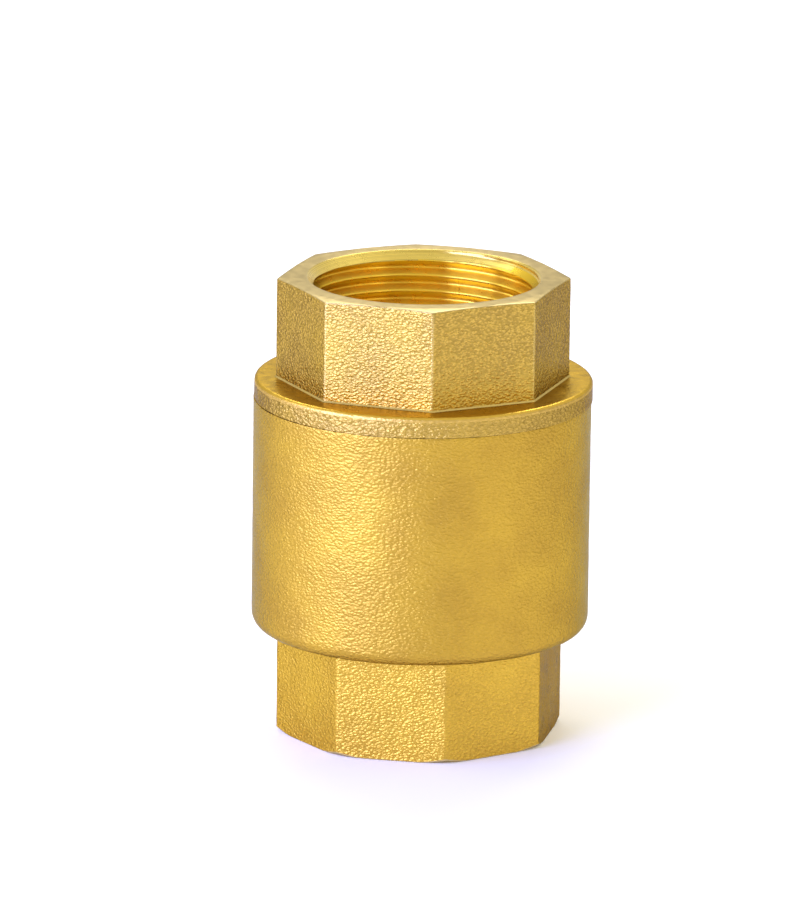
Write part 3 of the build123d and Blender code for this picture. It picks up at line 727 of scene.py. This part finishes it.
def blasted_brass(name, colour, grain_mm, depth_mm, roughness, contrast, edge_tint=EDGE_TINT):
    """Forged brass, shot-blasted: small domes, wider than high, with painted shade in the valleys between
    them and a painted highlight on their tops.
    """
    n = Nodes(name, {"Metallic": 1.0, "Specular Tint": edge_tint})
    place = n.scaled((1, 1, FLATTENING))
    sway = n.add("ShaderNodeTexNoise")
    n.link(place, sway, "Vector")
    sway.inputs["Scale"].default_value = 1 / (grain_mm * MM)
    shifted = n.add("ShaderNodeVectorMath", operation="MULTIPLY_ADD")
    n.link(sway.outputs["Color"], shifted, 0)
    shifted.inputs[1].default_value = (0.5 * grain_mm * MM,) * 3
    n.link(place, shifted, 2)
    valleys = n.pebbles(1 / grain_mm, 0.35, source=shifted.outputs[0])
    grit = n.noise(1.3 / grain_mm, 3.0, 0.55, source=place)
    height = n.math("SUBTRACT", grit, n.math("MULTIPLY", valleys, 1.2))
    # painted shade in the valleys and painted highlight on the domes, following the bump's height
    valley_shade = tuple(c * (1 - contrast) for c in colour)
    bright = tuple(c * (1 + contrast) for c in colour)
    tone = n.mix(n.spread(height, -0.25, 0.35), valley_shade, bright)
    patches = n.noise(0.12, 2.0)
    tone = n.mix(n.spread(patches, 0.35, 0.7, 0.0, 0.2), tone, BORED_BRASS)
    rough = n.spread(n.noise(0.5, 3.0), 0.3, 0.7, roughness - 0.04, roughness + 0.05)
    return n.finish(tone, rough, n.bump(height, depth_mm))


def machined_brass(
    name, colour, line_mm, depth_mm, roughness, by_height, spread=0.9, line_shade=0.0, edge_tint=FACED_TINT
):
    """Turned brass: fine tool lines round the axis, spaced by height or else by radius. spread is how
    much more the lines blur across themselves than along, and the argument after it how much darker
    the lines' bottoms are painted, as shade."""
    n = Nodes(
        name,
        {
            "Metallic": 1.0,
            "Specular Tint": edge_tint,
            "Anisotropic": spread,
            "Anisotropic Rotation": 0.25,
        },
    )
    around = n.add("ShaderNodeTangent", direction_type="RADIAL", axis="Z")
    n.link(around.outputs["Tangent"], n.shader, "Tangent")
    parts = n.add("ShaderNodeSeparateXYZ")
    n.link(n.place, parts, 0)
    if by_height:
        across = parts.outputs["Z"]
    else:
        square = n.math(
            "ADD",
            n.math("MULTIPLY", parts.outputs["X"], parts.outputs["X"]),
            n.math("MULTIPLY", parts.outputs["Y"], parts.outputs["Y"]),
        )
        across = n.math("SQRT", square, 0)
    line = n.add("ShaderNodeTexNoise", noise_dimensions="1D")
    n.link(n.math("MULTIPLY", across, 1 / (line_mm * MM)), line, "W")
    line.inputs["Scale"].default_value = 1.0
    line.inputs["Detail"].default_value = 2.0
    wear = n.noise(0.8, 3.0)
    bright = tuple(min(1.0, c * 1.04) for c in colour)
    # painted shade in the bottoms of the tool lines
    line_shade_colour = tuple(c * (1 - line_shade) for c in colour)
    tone = n.mix(n.spread(wear, 0.3, 0.7), colour, bright)
    tone = n.mix(n.spread(line.outputs["Fac"], 0.35, 0.6), line_shade_colour, tone)
    rough = n.spread(wear, 0.3, 0.7, roughness - 0.03, roughness + 0.05)
    return n.finish(tone, rough, n.bump(line.outputs["Fac"], depth_mm))


def steel(name, colour, roughness, grain_mm):
    """Stainless steel with faint, level draw or tool marks."""
    n = Nodes(name, {"Metallic": 1.0})
    marks = n.noise(1 / grain_mm, 3.0, source=n.scaled((1, 1, 6)))
    light = tuple(min(1.0, c * 1.25) for c in colour)
    tone = n.mix(n.spread(marks, 0.3, 0.7), colour, light)
    rough = n.spread(marks, 0.3, 0.7, roughness - 0.05, roughness + 0.08)
    return n.finish(tone, rough, n.bump(marks, 0.004))


def rubber(name):
    """Moulded nitrile: black, satin, with a bloom of fine dust."""
    n = Nodes(name, {"Specular IOR Level": 0.4})
    dust = n.noise(1.5, 4.0)
    tone = n.mix(n.spread(dust, 0.4, 0.75), (0.012, 0.012, 0.013), (0.035, 0.035, 0.036))
    return n.finish(tone, n.spread(dust, 0.3, 0.7, 0.42, 0.62), n.bump(n.noise(6, 3.0), 0.01))


def ptfe(name):
    """Turned PTFE: waxy white with soft tool lines."""
    n = Nodes(name, {"Specular IOR Level": 0.35})
    lines = n.noise(3, 2.0, source=n.scaled((0.3, 0.3, 3)))
    tone = n.mix(n.spread(lines, 0.3, 0.7), (0.74, 0.74, 0.71), (0.84, 0.84, 0.81))
    return n.finish(tone, n.spread(lines, 0.3, 0.7, 0.38, 0.52), n.bump(lines, 0.006))


def floor_material():
    """Pale paper, with a faint glow that lightens the shadow at the valve's foot."""
    glow = {"Emission Color": (1, 1, 0.9, 1), "Emission Strength": 0.06}
    n = Nodes("floor_paper", {"Roughness": 0.9, "Specular IOR Level": 0.1, **glow})
    tone = n.mix(n.noise(0.02, 3.0), (0.95, 0.95, 0.93), (0.97, 0.97, 0.95))
    return n.finish(tone)


# ---------------------------------------------------------------- studio
CAMERA_TURN = 11.6  # the camera's side of the valve
CAMERA_RISE = 14.522
CAMERA_DISTANCE = 1516.0
CAMERA_ROLL = 0.739
CAMERA_LENS = 414.2
AIM_RIGHT = -2.82  # the aim point's offset from the axis, across the view
AIM_Z = 39.64
FLOOR_R = 900
FLOOR_DROP = 0.02  # how far the floor lies under the inlet face
SKY_COLOUR = (1, 0.985, 0.93, 1)
SKY_STRENGTH = 0.78


def across_view(right, away, z):
    """A point given across the view, away from the camera and above the floor, in metres."""
    turn = math.radians(CAMERA_TURN)
    return Vector(
        (
            right * math.cos(turn) - away * math.sin(turn),
            right * math.sin(turn) + away * math.cos(turn),
            z,
        )
    ) * MM


def make_camera():
    rise = math.radians(CAMERA_RISE)
    aim = across_view(AIM_RIGHT, 0, AIM_Z)
    place = across_view(
        AIM_RIGHT, -CAMERA_DISTANCE * math.cos(rise), AIM_Z + CAMERA_DISTANCE * math.sin(rise)
    )
    forward = (aim - place).normalized()
    right = across_view(1, 0, 0).normalized()
    up = right.cross(forward)
    roll = math.radians(CAMERA_ROLL)
    x = right * math.cos(roll) + up * math.sin(roll)
    y = up * math.cos(roll) - right * math.sin(roll)
    data = bpy.data.cameras.new("camera")
    data.lens = CAMERA_LENS
    data.clip_end = 20
    camera = bpy.data.objects.new("camera", data)
    bpy.context.scene.collection.objects.link(camera)
    rotation = Matrix((x, y, -forward)).transposed().to_4x4()
    camera.matrix_world = Matrix.Translation(place) @ rotation
    bpy.context.scene.camera = camera


def make_softbox(name, place, size, watts, colour=(1, 1, 1), aim=(0, 0, 33)):
    """An area light at a place across the view, aimed at the middle of the valve or another place."""
    data = bpy.data.lights.new(name, "AREA")
    data.shape = "RECTANGLE"
    data.size, data.size_y = (side * MM for side in size)
    data.energy = watts
    data.color = colour
    light = bpy.data.objects.new(name, data)
    bpy.context.scene.collection.objects.link(light)
    light.location = across_view(*place)
    light.rotation_mode = "QUATERNION"
    light.rotation_quaternion = (across_view(*aim) - light.location).to_track_quat("-Z", "Y")


def make_floor():
    work = bmesh.new()
    bmesh.ops.create_circle(work, cap_ends=True, segments=96, radius=FLOOR_R * MM)
    mesh = bpy.data.meshes.new("floor")
    work.to_mesh(mesh)
    work.free()
    mesh.materials.append(floor_material())
    floor = bpy.data.objects.new("floor", mesh)
    bpy.context.scene.collection.objects.link(floor)
    floor.location.z = -FLOOR_DROP * MM


def light_studio():
    world = bpy.data.worlds.new("studio")
    bpy.context.scene.world = world
    world.use_nodes = True
    sky = world.node_tree.nodes["Background"]
    sky.inputs["Color"].default_value = SKY_COLOUR
    sky.inputs["Strength"].default_value = SKY_STRENGTH
    make_softbox("key", (-725, -587, 330), size=(850, 600), watts=6.2, colour=(0.98, 1.12, 3.1))
    make_softbox("fill", (620, -560, 240), size=(220, 400), watts=0.3)
    make_softbox("side", (-900, 120, 420), size=(380, 380), watts=0.95, colour=(1, 1, 1.6))
    make_softbox("wash", (0, 650, 700), size=(700, 500), watts=5, aim=(0, 650, 0))
    make_floor()
    bpy.context.scene.view_settings.view_transform = "Standard"


# ---------------------------------------------------------------- build
make_camera()
shell_materials = [  # in the order of the finishes; grain or line, depth, roughness, contrast of the painted shade and highlight
    blasted_brass("coarse_blasted_brass", COARSE_BRASS, 0.48, 0.105, 0.3, 0.27),
    blasted_brass("fine_blasted_brass", FINE_BRASS, 0.52, 0.09, 0.36, 0.07, FINE_TINT),
    machined_brass("faced_brass", FACED_BRASS, 0.12, 0.002, 0.34, by_height=False, spread=0.25),
    machined_brass("threaded_brass", BORED_BRASS, 0.3, 0.0005, 0.29, by_height=True),
    machined_brass("bored_brass", BORED_BRASS, 0.15, 0.003, 0.3, by_height=True),
    blasted_brass("edge_highlight_brass", EDGE_HIGHLIGHT_BRASS, 0.48, 0.13, 0.38, 0.14),
    blasted_brass("shelf_brass", SHELF_BRASS, 0.6, 0.022, 0.3, 0.04, SHELF_TINT),
    blasted_brass("band_brass", BAND_BRASS, 0.56, 0.16, 0.32, 0.2),
    blasted_brass("foot_highlight_brass", FOOT_HIGHLIGHT_BRASS, 0.6, 0.03, 0.3, 0.05, SHELF_TINT),
    # the mouth's tool lines get painted shade in their bottoms
    machined_brass(
        "mouth_brass", MOUTH_BRASS, 0.17, 0.004, 0.28, by_height=True, line_shade=0.3, edge_tint=MOUTH_TINT
    ),
    blasted_brass("low_blasted_brass", LOW_BRASS, 0.5, 0.095, 0.3, 0.12),
    blasted_brass("rim_highlight_brass", RIM_HIGHLIGHT_BRASS, 0.6, 0.06, 0.4, 0.08, SHELF_TINT),
]
body_shell = make_body_shell(shell_materials)
cap_shell = make_cap_shell(shell_materials)
for shell, node in ((body_shell, "inlet_body"), (cap_shell, "outlet_cap")):
    roughen(shell)
    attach(shell, "housing")
    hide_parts(node)

spring_steel = steel("spring_wire", (0.42, 0.42, 0.41), 0.28, 0.3)
stainless = steel("turned_stainless", (0.56, 0.56, 0.55), 0.24, 0.2)
spring = make_spring(spring_steel)
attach(spring, "housing")
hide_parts("return_spring")
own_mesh(spring)

looks = {
    "turned_brass": machined_brass("turned_brass", BORED_BRASS, 0.12, 0.003, 0.26, by_height=False),
    "stainless": stainless,
    "spring_steel": spring_steel,
    "nitrile": rubber("nitrile_rubber"),
    "ptfe": ptfe("turned_ptfe"),
}
for part in frame["record"]["subparts"]:
    if part["material_slot"] in looks:
        node = frame["nodes"][part["node"]]
        for slot in node.material_slots:
            slot.material = looks[part["material_slot"]]

light_studio()
